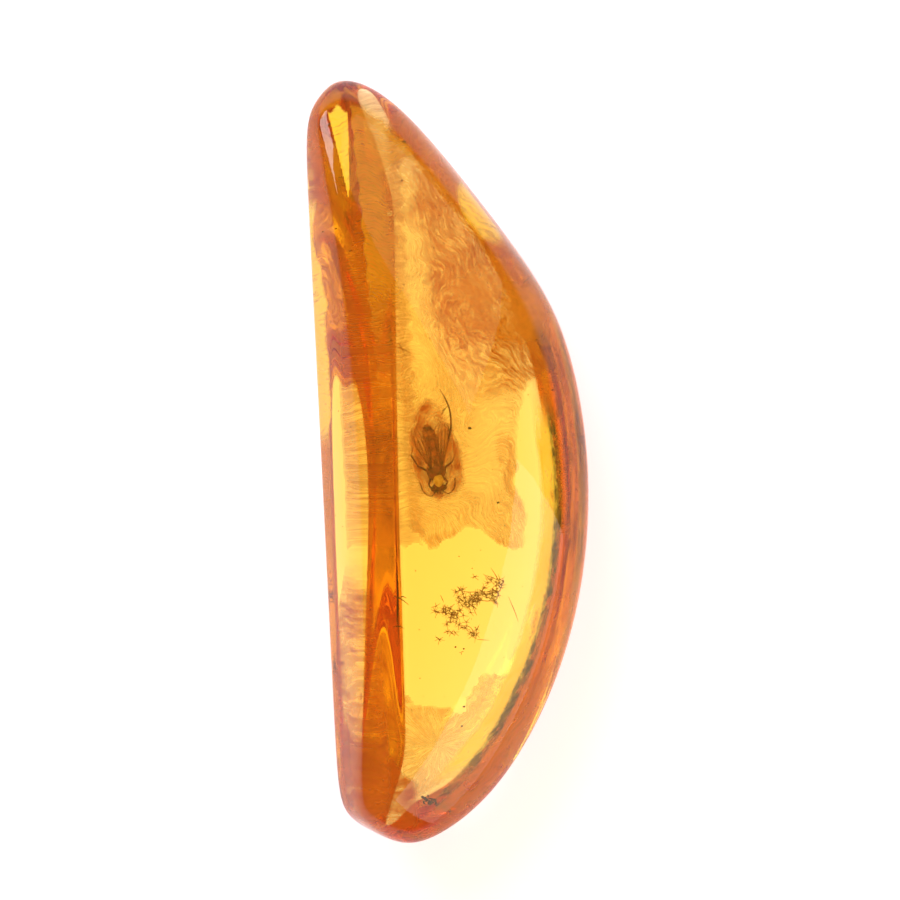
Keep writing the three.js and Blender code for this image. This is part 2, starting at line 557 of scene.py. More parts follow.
def upper_density(x, y):
    """Cloudy resin round the insect and up to the tip, thicker and thinner in patches."""
    wander_x = 0.35 * soft_noise(x * 0.8, y * 0.8, 11)
    wander_y = 0.4 * soft_noise(x * 1.1, y * 1.1, 12)
    floor_line = -3.9 + 0.45 * np.sin(x * 1.9 + 0.6) + wander_y
    near_insect = fade(y - floor_line, 0.35) * fade(2.6 + wander_x - x, 0.35)
    upper_right = fade(y - (2.9 + 0.42 * (x - 2.8)) + wander_y, 0.4)
    cover = 0.52 * np.maximum(near_insect, upper_right)
    cover += 0.46 * upper_right * patch(x, y, (1.6, 8.0), (3.4, 5.2), 18)
    cover += 0.42 * patch(x, y, (-1.4, 14.6), (2.8, 3.2))
    cover += 0.22 * patch(x, y, (3.2, 5.2), (1.9, 2.0), 20)
    cover -= 0.3 * patch(x, y, (-1.7, 8.8), (0.75, 5.2), 3)
    cover -= 0.75 * patch(x, y, (1.8, 11.0), (0.7, 1.7), 12)
    cover -= 0.16 * patch(x, y, (1.2, 0.8), (0.8, 3.4), -8)
    cover += 0.22 * patch(x, y, (-0.9, -4.0), (0.95, 0.55), 0, 0.2) * near_insect
    cover += 0.25 * patch(x, y, (2.0, -0.6), (0.45, 1.7), 10, 0.3) * near_insect
    cover += 0.3 * patch(x, y, (1.2, -4.3), (0.7, 0.45), -20, 0.3) * near_insect
    return np.clip(cover, 0, 1) * smooth_step(x, -2.75, -2.35)


def upper_flow(x, y):
    """Rings round the swirl that turn into slanted fibres further out."""
    rings = np.hypot(x - SWIRL[0], (y - SWIRL[1]) * 0.8)
    slanted = 0.8 * x + 0.35 * y
    share = smooth_step(rings, 1.2, 5.0)
    across = rings * (1 - share) + slanted * share + 0.42 * soft_noise(x * 0.45, y * 0.35, 21)
    across += 0.09 * soft_noise(x * 1.7, y * 1.5, 22)
    along = np.arctan2(y - SWIRL[1], x - SWIRL[0]) * 1.6 * (1 - share) + share * (y - x) * 0.6
    return across, along + 0.3 * soft_noise(x, y, 23)


def upper_level(x, y):
    return 1.25 + 0.1 * (3.0 - x) + 0.18 * soft_noise(x * 0.45, y * 0.35, 31)


def lower_density(x, y):
    """Cloudy resin that fills the lower end below a wavy line."""
    edge = -10.55 + 0.3 * x + 0.55 * np.sin(x * 1.5 + 0.4) + 0.35 * soft_noise(x * 1.3, y * 1.3, 13)
    cover = 0.58 * fade(edge - y, 0.3)
    cover -= 0.28 * patch(x, y, (0.4, -13.8), (1.3, 2.6), -30)
    cover += 0.24 * patch(x, y, (2.4, -11.4), (1.7, 0.9), 40)
    return np.clip(cover, 0, 1)


def lower_flow(x, y):
    """Fibres that spread like rays from the star burst."""
    dx, dy = x - STAR_BURST[0], y - STAR_BURST[1]
    turn = np.arctan2(dy, dx)
    return turn * 1.1 + 0.2 * soft_noise(x * 0.9, y * 0.9, 24), np.hypot(dx, dy) * 0.9


def lower_level(x, y):
    rise = 1.9 * smooth_step(x, -0.5, 3.0)
    return 1.35 + 0.08 * (y + 13) + rise + 0.12 * soft_noise(x * 0.7, y * 0.7, 32)


def seam_density(x, y):
    """The flow seam under the bevel, which stops short at its lower end."""
    lower_end = fade(y + 4.0 + 0.1 * np.sin(x * 9), 0.12)
    cover = 0.42 * lower_end + 0.34 * patch(x, y, (-3.4, 4.0), (1.2, 6.6), 0, 0.5)
    cover += 0.2 * smooth_step(y, 7.0, 12.0)
    under_bevel = smooth_step(x, -4.15, -3.85)
    right_edge = -1.75 + 0.1 * np.sin(y * 7)
    return cover * under_bevel * fade(right_edge - x, 0.25)


def seam_flow(x, y):
    return y + 0.1 * np.sin(x * 3.1 + y * 0.8) + 0.1 * soft_noise(x * 1.1, y * 2.2, 25), x * 0.9


def seam_level(x, y):
    return 3.6 + 0.42 * (-3.0 - x) + 0.15 * soft_noise(x * 0.9, y * 0.6, 33)


def rim_level(x, y):
    return RIM_HEIGHT + 0.12 * soft_noise(x * 0.6, y * 0.5, 34)


def rim_shade_density(x, y):
    """A darker film that follows the bowed edge and thins out towards both ends: painted shade for the
    dark band along the curved edge.
    """
    share = rim_share(x, y)
    ends = between(y, -9.5, -3.0, 6.4 + 0.4 * np.sin(x * 5), 1.2)
    inner = smooth_step(share, 0.77, 0.8 + 0.02 * np.sin(y * 2.1))
    streak = 0.75 + 0.35 * soft_noise(share * 22, y * 0.35, 35)
    return np.clip(0.85 * ends * inner * streak, 0, 1)


def rim_flow(x, y):
    share = rim_share(x, y)
    return share * 5 + 0.08 * soft_noise(x, y * 0.6, 36), y * 0.8


def heel_density(x, y):
    """A red film behind the wall, on the heel side of a slanting line."""
    line = np.maximum(-4.6 + 0.3 * (y + 4.6), -6.4) + 0.03 * np.sin(y * 3.1)
    sides = fade(x - line, 0.16) * fade(-3.75 - x, 0.3)
    film = sides * fade(-4.0 - y, 3.2)
    return np.clip(film * (0.75 + 0.2 * soft_noise(x * 1.3, y * 0.5, 37)), 0, 1)


def heel_level(x, y):
    return 4.35 + 0.9 * (x + 5.0) * (x > -5.0) + 0.03 * np.sin(y)


def wall_pale_density(x, y):
    """Clear yellow resin just behind the upper half of the wall, lit up with a painted glow."""
    inner_edge = -4.98 - 0.06 * np.clip(y - 8, 0, 9) + 0.12 * soft_noise(x, y * 0.8, 50)
    ends = between(y, 0.6, 2.0, 12.6 + 0.4 * np.sin(x * 7), 0.5)
    return 0.9 * fade(inner_edge - x, 0.14) * ends


def wall_film_level(x, y):
    """A plane just behind the leaning wall, which doesn't change along y."""
    return WALL_FILM_Z + (x - WALL_FILM_X) / tan(radians(WALL_LEAN_DEG))


def shoulder_density(x, y):
    """A red film behind the wall, between the pale wedge and the outline."""
    inner_edge = -4.62 - 0.1 * (y - WEDGE_Y) + 0.05 * np.sin(y * 2.3)
    ends = between(y, 11.4, 12.6, 17.6, 0.3)
    return 0.95 * fade(inner_edge - x, 0.2) * ends


def upper_rim_shade_density(x, y):
    """A brown film along the bow, above the dark red one: painted shade for the dark line along the
    curved edge there.
    """
    share = rim_share(x, y)
    ends = between(y, 4.0, 7.0, 14.0, 3.0)
    return 0.75 * ends * smooth_step(share, 0.86, 0.93)


def window_density(x, y):
    """A small clear window beside the bow, near the tip, made bright with a painted glow."""
    return 0.7 * patch(x, y, (1.77, 11.1), (0.62, 1.55), 31, 0.22)


def ground_edge_shade_density(x, y):
    """A finely scratched line that follows the bow, darkened with painted shade for the dark look of
    the ground edge there.
    """
    out = bow_share(x, y) + 0.004 * soft_noise(x, y * 0.8, 38)
    line = between(out, 0.777, 0.797, 0.834, 0.018)
    ends = between(y, -16.4, -15.2, 3.8, 3.5)
    return np.clip(line * ends * (0.8 + 0.35 * soft_noise(x * 2, y * 2, 39)), 0, 1)


def pale_edge_density(x, y):
    """Clear yellow resin with a painted glow, on the inner side of the shaded edge line."""
    out = bow_share(x, y) + 0.006 * soft_noise(x * 0.7, y * 0.5, 46)
    line = between(out, 0.7, 0.745, 0.806, 0.012)
    return line * between(y, -15.6, -13.5, 3.0, 3.0)


def outer_edge_density(x, y):
    """Orange resin between the shaded edge line and the outline, at the lower end."""
    line = smooth_step(bow_share(x, y), 0.8, 0.825)
    return 0.85 * line * between(y, -17.5, -16.0, -4.0, 5.0)


def fog_density(x, y):
    """Even haze over the upper film: a cloud beside the bow and a column above it."""
    wander = 0.25 * soft_noise(x * 0.7, y * 0.7, 47)
    cloud = patch(x + wander, y, (2.35, 6.7), (2.7, 1.75), -22, 0.4)
    column = patch(x, y + wander, (-0.05, 11.6), (1.05, 4.3), 3, 0.3)
    return 0.72 * np.maximum(cloud, 0.62 * column)


def fog_flow(x, y):
    return 0.35 * x + 0.5 * y + 0.15 * soft_noise(x, y, 48), 0.6 * x


def fog_level(x, y):
    return np.minimum(3.4, bow_level(x, y) - 0.2) + 0.1 * soft_noise(x * 0.6, y * 0.6, 49)


def foot_density(x, y):
    """A red film that fills the corner between the foot and the heel."""
    line = -13.3 - 1.235 * (x + 4.06) + 0.18 * np.sin(x * 4.2)
    return 0.95 * fade(line - y, 0.35) * fade(-2.6 - x, 0.5)


def fringe_density(x, y):
    """Frayed resin along the ridge, from the middle of the stone to its tip."""
    left_edge = -3.15 - 0.045 * np.clip(y, 0, 20) - 0.05 * np.sin(y * 5.3)
    right_edge = -1.5 + 0.25 * np.sin(y * 0.9) + 0.3 * soft_noise(x, y * 1.3, 43)
    right_edge += 2.4 * smooth_step(y, 13.4, 14.8)
    cover = fade(x - left_edge, 0.12) * fade(right_edge - x, 1.2)
    return cover * (0.28 * smooth_step(y, 1.0, 4.0) + 0.52 * smooth_step(y, 5.5, 9.0))


def fringe_flow(x, y):
    return y + 0.22 * np.sin(x * 2.4 + 0.5) + 0.16 * soft_noise(x * 1.4, y * 1.4, 44), x * 0.9


def ridge_level(x, y):
    return crown_height(x, y) - 1.05 + 0.05 * soft_noise(x, y, 45)


def wedge_density(x, y):
    """A pale clear-edged wedge behind the wall, near the tip, with a painted glow."""
    half = 0.06 + 0.105 * (y - WEDGE_Y)
    middle = -4.08 - 0.075 * (y - WEDGE_Y)
    inside = fade(half - np.abs(x - middle), 0.07)
    return inside * fade(16.6 - y - 0.2 * np.sin(x * 9), 0.25)


ORANGE, BROWN = (0.96, 0.56, 0.05), (0.64, 0.27, 0.02)
RESINS = {  # light and dark colour, opacity, how far streaks are drawn out
    "cloudy_resin": (ORANGE, BROWN, 1.15, (24.0, 2.4)),
    "fibrous_resin": (ORANGE, (0.74, 0.3, 0.03), 1.0, (18.0, 1.2)),
    "drawn_out_resin": ((0.9, 0.33, 0.02), (0.5, 0.12, 0.008), 1.0, (9.0, 0.6)),
    # the next two resins are painted shade: dark films under the bowed edge
    "rim_shade_resin": ((0.32, 0.08, 0.012), (0.12, 0.022, 0.005), 1.1, (8.0, 0.8)),
    "brown_rim_shade_resin": ((0.5, 0.22, 0.02), (0.22, 0.09, 0.008), 1.0, (8.0, 0.8)),
    "heel_resin": ((0.8, 0.21, 0.012), (0.5, 0.09, 0.006), 1.15, (3.0, 0.5)),
    # the next resin is painted shade: a near black film for the dark look of the ground edge along the
    # bow
    "shaded_ground_edge": ((0.36, 0.25, 0.01), (0.1, 0.065, 0.003), 1.3, (16.0, 2.5)),
    "frayed_resin": ((1.0, 0.6, 0.05), (0.72, 0.27, 0.015), 1.15, (22.0, 1.8)),
    "orange_edge": ((0.95, 0.44, 0.02), (0.78, 0.26, 0.01), 1.1, (9.0, 0.8), 0.5),
    # the next resin gives off a faint emission (0.7): painted glow that brightens the clear yellow
    # films made of it
    "glowing_pale_resin": ((1.0, 0.88, 0.15), (0.96, 0.7, 0.06), 1.6, (6.0, 1.0), 0.5, 0.7),
    "resin_haze": ((0.93, 0.5, 0.06), (0.82, 0.38, 0.04), 1.2, (2.0, 0.9)),
}
FILMS = [  # name, resin, low and high corner, step, shape, wrinkle
    ("upper_flow_film", "cloudy_resin", (-3.6, -5.2), (5.6, 17.6), 0.09,
     upper_level, upper_density, upper_flow, 0.025),
    ("lower_flow_film", "fibrous_resin", (-3.6, -17.6), (4.4, -8.6), 0.09,
     lower_level, lower_density, lower_flow, 0.05),
    ("bevel_flow_seam", "drawn_out_resin", (-5.4, -17.4), (-1.6, 17.2), 0.08,
     seam_level, seam_density, seam_flow, 0.05),
    ("rim_shade_film", "rim_shade_resin", (2.6, -12.0), (6.3, 8.0), 0.07,
     rim_level, rim_shade_density, rim_flow, 0.05),
    ("heel_flow_film", "heel_resin", (-6.2, -17.6), (-3.4, -4.4), 0.07,
     heel_level, heel_density, seam_flow, 0.05),
    ("shaded_ground_edge_line", "shaded_ground_edge", (-3.0, -16.6), (5.6, 4.0), 0.06,
     shifted(bow_level, 0.15), ground_edge_shade_density, rim_flow, 0.01),
    ("pale_edge_film", "glowing_pale_resin", (-3.0, -16.0), (5.6, 4.0), 0.07,
     bow_level, pale_edge_density, rim_flow, 0.01),
    ("orange_edge_film", "orange_edge", (-3.0, -17.6), (6.2, -3.8), 0.07,
     bow_level, outer_edge_density, rim_flow, 0.02),
    ("foot_flow_film", "heel_resin", (-5.6, -17.6), (-0.4, -11.8), 0.07,
     shifted(ridge_level, -1.3), foot_density, seam_flow, 0.03),
    ("pale_wall_film", "glowing_pale_resin", (-6.6, 0.4), (-4.6, 13.2), 0.05,
     wall_film_level, wall_pale_density, seam_flow, 0.0),
    ("shoulder_flow_film", "heel_resin", (-6.8, 11.2), (-4.4, 17.7), 0.06,
     wall_film_level, shoulder_density, seam_flow, 0.0),
    ("upper_rim_shade_film", "brown_rim_shade_resin", (0.0, 3.8), (6.2, 14.4), 0.07,
     rim_level, upper_rim_shade_density, rim_flow, 0.05),
    ("glowing_clear_window_film", "glowing_pale_resin", (0.4, 9.2), (3.6, 13.2), 0.07,
     shifted(bow_level, -0.2), window_density, fog_flow, 0.01),
    ("haze_film", "resin_haze", (-2.2, 3.6), (5.4, 17.0), 0.09,
     fog_level, fog_density, fog_flow, 0.01),
    ("ridge_fringe_film", "frayed_resin", (-4.2, 0.8), (1.2, 17.6), 0.07,
     ridge_level, fringe_density, fringe_flow, 0.03),
    ("pale_wedge_film", "glowing_pale_resin", (-5.2, 12.2), (-3.6, 17.0), 0.06,
     ridge_level, wedge_density, fringe_flow, 0.01),
]


def make_films():
    resins = {name: film_material(name, *look) for name, look in RESINS.items()}
    for name, resin, low, high, step, level, density, flow, wrinkle in FILMS:
        film_sheet(name, low, high, step, level, density, flow, resins[resin], wrinkle)


# ---- the insect
INSECT_TURN_DEG, INSECT_ROLL_DEG = 5, 12
INSECT_BREADTH = 1.22


def insect_place(local):
    """The insect lies nearly along the stone, head down, rolled a little to one side."""
    turn, roll = radians(INSECT_TURN_DEG), radians(INSECT_ROLL_DEG)
    x, y, z = np.array(local, float).T
    x = x * INSECT_BREADTH
    x, z = x * cos(roll) + z * sin(roll), z * cos(roll) - x * sin(roll)
    x, y = x * cos(turn) - y * sin(turn), x * sin(turn) + y * cos(turn)
    return INSECT + np.stack([x, y, z], -1)


def insect_piece(name, shape, material):
    shape.points = insect_place(shape.points).tolist()
    return shape_piece(name, shape, material)


def chitin_material(name, pale, dark, bands=0.0):
    made = Nodes(name)
    mottle = made.noise(made.place, 5200, 4)
    hairs = made.noise(made.stretched(made.place, (26000, 7000, 26000)), 1, 2)
    if bands:
        wave = made.make("ShaderNodeTexWave", wave_type="BANDS", bands_direction="Y")
        made.fill(wave, Vector=made.place, Scale=bands, Distortion=1.5, Detail_Scale=2)
        mottle = made.math("ADD", made.math("MULTIPLY", mottle, 0.5),
                           made.math("MULTIPLY", wave.outputs["Fac"], 0.5))
    colour = made.ramp(mottle, [(0.35, dark), (0.68, pale)])
    made.bump(hairs, 0.012)
    rough = made.ramp(hairs, [(0.3, (0.3,) * 3), (0.7, (0.55,) * 3)])
    return made.set(Base_Color=colour, Roughness=rough)


def wing_material():
    made = Nodes("wing_membrane")
    ripple = made.noise(made.stretched(made.place, (2600, 900, 2600)), 1, 3)
    colour = made.ramp(ripple, [(0.35, (0.68, 0.13, 0.07)), (0.7, (0.95, 0.38, 0.14))])
    alpha = made.ramp(ripple, [(0.3, (0.26,) * 3), (0.7, (0.5,) * 3)])
    made.bump(ripple, 0.015)
    return made.set(Base_Color=colour, Alpha=alpha, Roughness=0.3)


def insect_body(brown):
    head = Shape()
    head.lump((0, -1.52, 0.0), (0.27, 0.19, 0.21), 0.05, 1, 12, 18)
    for side in (-1, 1):
        head.tube([(side * 0.07, -1.7, 0.0), (side * 0.05, -1.82, -0.06)], [0.04, 0.02])
    insect_piece("insect_head", head, brown)

    thorax = Shape()
    thorax.lump((0, -0.72, 0.02), (0.37, 0.5, 0.33), 0.07, 2, 14, 20)
    thorax.lump((0, -0.22, 0.14), (0.22, 0.17, 0.16), 0.05, 3)
    insect_piece("insect_thorax", thorax, brown)


def insect_eyes():
    eyes = Shape()
    for side in (-1, 1):
        eyes.lump((side * 0.19, -1.55, 0.07), (0.12, 0.13, 0.13), 0.02, 4, 10, 14)
    dark = chitin_material("eye_facets", (0.16, 0.03, 0.01), (0.03, 0.006, 0.003))
    insect_piece("insect_eyes", eyes, dark)


def insect_abdomen():
    rings, sides, segments = 60, 18, 7
    length, start = 1.55, -0.12
    shape = Shape()
    points, faces = [], []
    for k in range(rings + 1):
        t = k / rings
        envelope = 0.31 * sin(pi * min(0.12 + 0.86 * t, 1.0)) ** 0.55
        fold = 1 - 0.13 * abs(cos(pi * segments * t)) ** 4
        for s in range(sides):
            turn = TAU * s / sides
            points.append((envelope * fold * cos(turn) - 0.1 * t * t,
                           start + length * t,
                           0.78 * envelope * fold * sin(turn) - 0.05 * t))
    for s in range(sides):
        faces += strip(s, (s + 1) % sides, sides, rings)
    faces.append(list(range(sides))[::-1])
    faces.append([rings * sides + s for s in range(sides)])
    shape.add(points, faces)
    banded = chitin_material("banded_abdomen", (0.46, 0.15, 0.06), (0.09, 0.02, 0.016), 720)
    insect_piece("insect_abdomen", shape, banded)


def wing_outline(share):
    """Half width of the wing, as a share of its length, from its root to its tip."""
    return 0.3 * share ** 0.55 * (1 - share ** 3.2) ** 0.6


def insect_wings(membrane, vein_material):
    """Two pairs, folded back along the body, each with its veins."""
    veins = Shape()
    for side in (-1, 1):
        for pair, (length, splay_deg, lift) in enumerate(((2.1, 9, 0.3), (1.6, 16, 0.16))):
            splay = radians(splay_deg)
            root = np.array([side * 0.2, -0.62 + 0.22 * pair, lift])
            out = np.array([side * sin(splay), cos(splay), -0.1])
            broad = np.array([side * cos(splay), -sin(splay), -0.25])
            steps, strips = 28, 8
            points, faces = [], []
            for k in range(steps + 1):
                t = 0.02 + 0.98 * k / steps
                for c in range(strips + 1):
                    w = 2 * c / strips - 1
                    crease = 0.03 * cos(w * 5 + pair) * t
                    points.append(root + length * (out * t + broad * wing_outline(min(t, 0.999)) * w)
                                  + np.array([0, 0, crease]))
            for k in range(steps):
                for c in range(strips):
                    a = k * (strips + 1) + c
                    faces.append([a, a + 1, a + strips + 2, a + strips + 1])
            wing = Shape()
            wing.add(points, faces)
            word = "left" if side < 0 else "right"
            insect_piece(f"{word}_{('fore', 'hind')[pair]}wing", wing, membrane)
            for w in (-0.97, -0.55, -0.15, 0.3, 0.75):
                line = []
                for k in range(14):
                    t = 0.02 + 0.93 * k / 13
                    lean = w * (0.35 + 0.65 * t)
                    rib = root + length * (out * t + broad * wing_outline(min(t, 0.999)) * lean)
                    line.append(rib + np.array([0, 0, 0.012]))
                veins.tube(line, [0.026 if abs(w) > 0.9 else 0.015, 0.01], 5)
    insect_piece("wing_veins", veins, vein_material)


def insect_legs(brown):
    legs = Shape()
    joints = {
        "fore": [(0.24, -1.05), (0.38, -1.32), (0.27, -1.54), (0.12, -1.84)],
        "middle": [(0.3, -0.72), (0.7, -0.42), (0.92, 0.12), (0.8, 0.55)],
        "hind": [(0.3, -0.35), (0.62, 0.22), (0.7, 1.05), (0.42, 1.52)],
    }
    for side in (-1, 1):
        for k, stops in enumerate(joints.values()):
            drop = -0.22 - 0.05 * k
            bend = 1.0 if side > 0 else 0.86
            path = [(side * bend * x, y, drop + 0.14 * sin(2.4 * i + k))
                    for i, (x, y) in enumerate(stops)]
            for i, (thick, thin) in enumerate(((0.052, 0.036), (0.036, 0.022), (0.02, 0.009))):
                arch = np.mean([path[i], path[i + 1]], axis=0) + [0, 0, 0.03]
                legs.tube(curve_through([path[i], arch, path[i + 1]], 8), [thin, thick, thin], 7)
    insect_piece("insect_legs", legs, brown)


def insect_feelers(brown):
    feelers = Shape()
    for side in (-1, 1):
        bead_count = 26
        line = curve_through([(side * 0.1, -1.68, 0.08), (side * 0.34, -1.86, 0.14),
                              (side * 0.58, -1.62, 0.1), (side * 0.66, -1.2, 0.04)], bead_count)
        beads = [0.02 + 0.007 * (k % 2) for k in range(bead_count)]
        feelers.tube(line, beads, 6)
    trailing = curve_through([(0.3, -0.55, -0.1), (0.52, 0.25, 0.05), (0.78, 1.1, 0.12),
                              (0.84, 1.9, 0.1), (0.74, 2.5, 0.05), (0.6, 2.95, 0.0)], 34)
    feelers.tube(trailing, [0.05, 0.046, 0.036, 0.032, 0.024, 0.008], 7)
    insect_piece("insect_feelers", feelers, brown)


def insect_collar():
    shape = Shape()
    shape.lump((0.02, -1.18, 0.25), (0.18, 0.29, 0.1), 0.14, 8, 12, 16)
    pale = chitin_material("pale_collar", (0.86, 0.66, 0.26), (0.62, 0.36, 0.1))
    insect_piece("pale_collar", shape, pale)


def halo_density(x, y):
    ring = patch(x, y, INSECT[:2] + [0.02, -0.05], (1.08, 2.25), INSECT_TURN_DEG, 0.16)
    return ring * (0.7 + 0.25 * soft_noise(x * 2.2, y * 2.2, 41))


def halo_flow(x, y):
    dx, dy = x - INSECT[0], y - INSECT[1]
    return np.hypot(dx * 2, dy) + 0.2 * soft_noise(x * 2, y * 2, 42), np.arctan2(dy, dx * 2)


def insect_halo():
    """The milky coat that the resin formed under and over the insect."""
    milky = film_material("milky_coat", (0.78, 0.24, 0.06), (0.56, 0.14, 0.04), 1.4, (9.0, 1.2))
    reach = [1.7, 3.0]
    low, high = INSECT[:2] - reach, INSECT[:2] + reach
    for name, shift, strength in (("halo_under_insect", -0.55, 1.0), ("halo_over_insect", 0.75, 0.12)):

        def level(x, y, shift=shift):
            r = np.hypot((x - INSECT[0]) / 1.2, (y - INSECT[1]) / 2.4)
            return INSECT[2] + shift * (1 - 0.55 * np.clip(r, 0, 1) ** 2)

        def density(x, y, strength=strength):
            return strength * halo_density(x, y)

        film_sheet(name, low, high, 0.05, level, density, halo_flow, milky)


def make_insect():
    brown = chitin_material("brown_chitin", (0.3, 0.06, 0.045), (0.06, 0.012, 0.012))
    insect_body(brown)
    insect_eyes()
    insect_abdomen()
    insect_wings(wing_material(), brown)
    insect_legs(brown)
    insect_feelers(brown)
    insect_collar()
    insect_halo()


# ---- plant hairs and dirt
def plant_material(name, pale, dark):
    made = Nodes(name)
    tone = made.noise(made.place, 9000, 3)
    made.bump(made.noise(made.place, 30000, 2), 0.004)
    return made.set(Base_Color=made.ramp(tone, [(0.35, dark), (0.7, pale)]), Roughness=0.6)


HAIR_DRIFT = [  # x, y, how far the hairs scatter, and how many there are
    (-0.78, -7.25, 0.26, 20), (-0.2, -6.75, 0.24, 16), (0.3, -6.48, 0.2, 12),
    (1.0, -6.42, 0.19, 15), (1.28, -6.0, 0.16, 9), (-1.35, -6.98, 0.16, 4),
    (-0.92, -8.02, 0.09, 3), (-0.35, -7.9, 0.13, 3), (0.08, -8.22, 0.12, 5),
    (0.25, -5.56, 0.02, 1), (-1.45, -8.31, 0.02, 1), (-0.45, -6.12, 0.15, 3),
]


def scattered(drift, gap, seed):
    """Points round the middles in the list, none closer together than the gap."""
    draw = random.Random(seed)
    points = []
    tries = 40
    for x, y, scatter, count in drift:
        for _ in range(count):
            for _ in range(tries):
                point = np.array([draw.gauss(x, scatter * 0.8), draw.gauss(y, scatter * 0.7),
                                  draw.uniform(2.35, 2.85)])
                if all(np.hypot(*(point - other)[:2]) > gap for other in points):
                    points.append(point)
                    break
    return points


def make_stellate_hairs():
    """Oak hairs: a small heart with five to eight fine rays that open like a star, and
    the long threads that join some of them."""
    random.seed(5)
    hairs = Shape()
    for heart in scattered(HAIR_DRIFT, 0.11, 6):
        tilt = unit(np.array([random.gauss(0, 0.5), random.gauss(0, 0.5), 1.0]))
        side = unit(np.cross(tilt, [0.3, 0.9, 0.1]))
        over = np.cross(tilt, side)
        rays = random.randint(5, 8)
        begin = random.uniform(0, TAU)
        hairs.lump(heart, (0.024, 0.024, 0.018), 0.2, rays, 5, 7)
        for r in range(rays):
            turn = begin + TAU * r / rays + random.gauss(0, 0.22)
            out = cos(turn) * side + sin(turn) * over + 0.35 * tilt
            size = random.uniform(0.13, 0.27)
            middle = heart + out * size * 0.5 + np.array([random.gauss(0, 0.012) for _ in range(3)])
            hairs.tube([heart, middle, heart + out * size], [0.014, 0.011, 0.005], 5)
    threads = [
        [(-0.55, -5.95), (-0.25, -6.22), (0.45, -6.28), (0.95, -6.3)],
        [(-1.62, -7.02), (-1.2, -7.12), (-0.9, -7.0)],
        [(-0.7, -6.75), (-1.15, -7.1), (-0.6, -7.3)],
        [(-0.55, -7.75), (-0.1, -7.85), (0.1, -8.25), (0.08, -8.6)],
        [(0.35, -6.6), (0.75, -6.72), (1.15, -6.68)],
        [(-1.3, -6.3), (-1.18, -6.65)],
        [(0.1, -6.95), (0.25, -7.35)],
        [(0.2, -8.45), (0.75, -8.52)],
        [(0.65, -5.45), (1.1, -5.95)],
        [(1.15, -6.7), (1.18, -7.05)],
    ]
    for line in threads:
        path = curve_through([(x, y, 2.6 + 0.1 * sin(3 * x)) for x, y in line], 12)
        hairs.tube(path, [0.008, 0.016, 0.007], 5)
    tawny = plant_material("stellate_hair", (0.42, 0.13, 0.045), (0.16, 0.045, 0.02))
    shape_piece("stellate_hairs", hairs, tawny)
    make_needle_hairs(tawny)


def bent_rods(name, material, ends, bow, heights, count, radii, sides):
    """Thin rods from start to end, each bent a little to one side in the middle."""
    rods = Shape()
    for start, end in ends:
        middle = ((start[0] + end[0]) / 2 + bow[0], (start[1] + end[1]) / 2 + bow[1])
        stops = [(*place, z) for place, z in zip((start, middle, end), heights)]
        rods.tube(curve_through(stops, count), radii, sides)
    shape_piece(name, rods, material)


def make_needle_hairs(tawny):
    ends = [((1.03, -5.23), (1.42, -6.08)), ((1.72, -6.6), (2.08, -7.77)),
            ((0.8, -5.55), (1.3, -5.8)), ((-0.62, -9.0), (-0.42, -8.95))]
    bent_rods("needle_hairs", tawny, ends, (0.03, 0), (2.75, 2.8, 2.7), 12, [0.008, 0.018, 0.006], 6)


def make_specks(dark):
    """Single specks, and a trail of crumbs near the lower end."""
    specks = Shape()
    given = [(-1.72, 14.53, 0.075), (-1.88, 12.78, 0.05), (-0.61, 1.19, 0.05), (0.48, 1.22, 0.075),
             (-0.76, -8.73, 0.045), (-0.39, -8.85, 0.05), (-0.56, -11.5, 0.07), (-0.71, -12.39, 0.05),
             (1.55, -2.25, 0.06), (-0.62, 9.6, 0.04), (0.4, 7.3, 0.035), (-2.05, 8.0, 0.04)]
    for k, (x, y, size) in enumerate(given):
        specks.lump((x, y, 3.0), (size, size * 0.8, size * 0.7), 0.35, 40 + k)
    random.seed(3)
    for k in range(34):
        share = random.random()
        x = -2.65 + 1.25 * share + random.gauss(0, 0.1)
        y = -15.5 - 0.85 * share + random.gauss(0, 0.12)
        size = random.uniform(0.025, 0.075)
        turn = random.uniform(0, TAU)
        specks.lump((x, y, 3.4), (size * 1.4, size, size * 0.8), 0.5, 60 + k, 6, 8, turn)
    shape_piece("dark_specks", specks, dark, smooth=False)


def make_dust(dark):
    dust = Shape()
    random.seed(9)
    for k in range(260):
        place = (random.uniform(-4.5, 5.5), random.uniform(-17, 17), random.uniform(0.8, 6.0))
        size = random.choice((0.01, 0.014, 0.02, 0.028))
        if depth_share(place) < 0.93:
            dust.lump(place, (size, size, size), 0.3, k, 4, 6)
    shape_piece("fine_dust", dust, dark, smooth=False)


def make_plant_fibres(dark):
    ends = [((-3.31, -6.24), (-2.72, -6.66)), ((-3.45, -7.61), (-2.98, -7.74)),
            ((-3.1, -6.3), (-2.8, -6.35)), ((-2.74, 5.23), (-1.95, 4.84)),
            ((-2.45, 5.35), (-2.2, 4.75)), ((-0.75, 1.9), (-0.45, 2.3))]
    bent_rods("plant_fibres", dark, ends, (0, 0.06), (3.0, 3.1, 3.0), 10, [0.012, 0.024, 0.008], 5)


def make_white_crumb():
    pale = plant_material("white_crumb", (0.95, 0.9, 0.8), (0.8, 0.62, 0.4))
    crumb = Shape()
    for k in range(5):
        crumb.lump((-2.3 + 0.06 * cos(2.5 * k), 11.42 + 0.07 * sin(2.5 * k), 5.2),
                   (0.07, 0.06, 0.05), 0.4, 80 + k)
    shape_piece("white_crumb", crumb, pale, smooth=False)


def make_dirt():
    dark = plant_material("dark_specks", (0.1, 0.04, 0.015), (0.02, 0.008, 0.004))
    make_specks(dark)
    make_dust(dark)
    make_plant_fibres(dark)
    make_white_crumb()


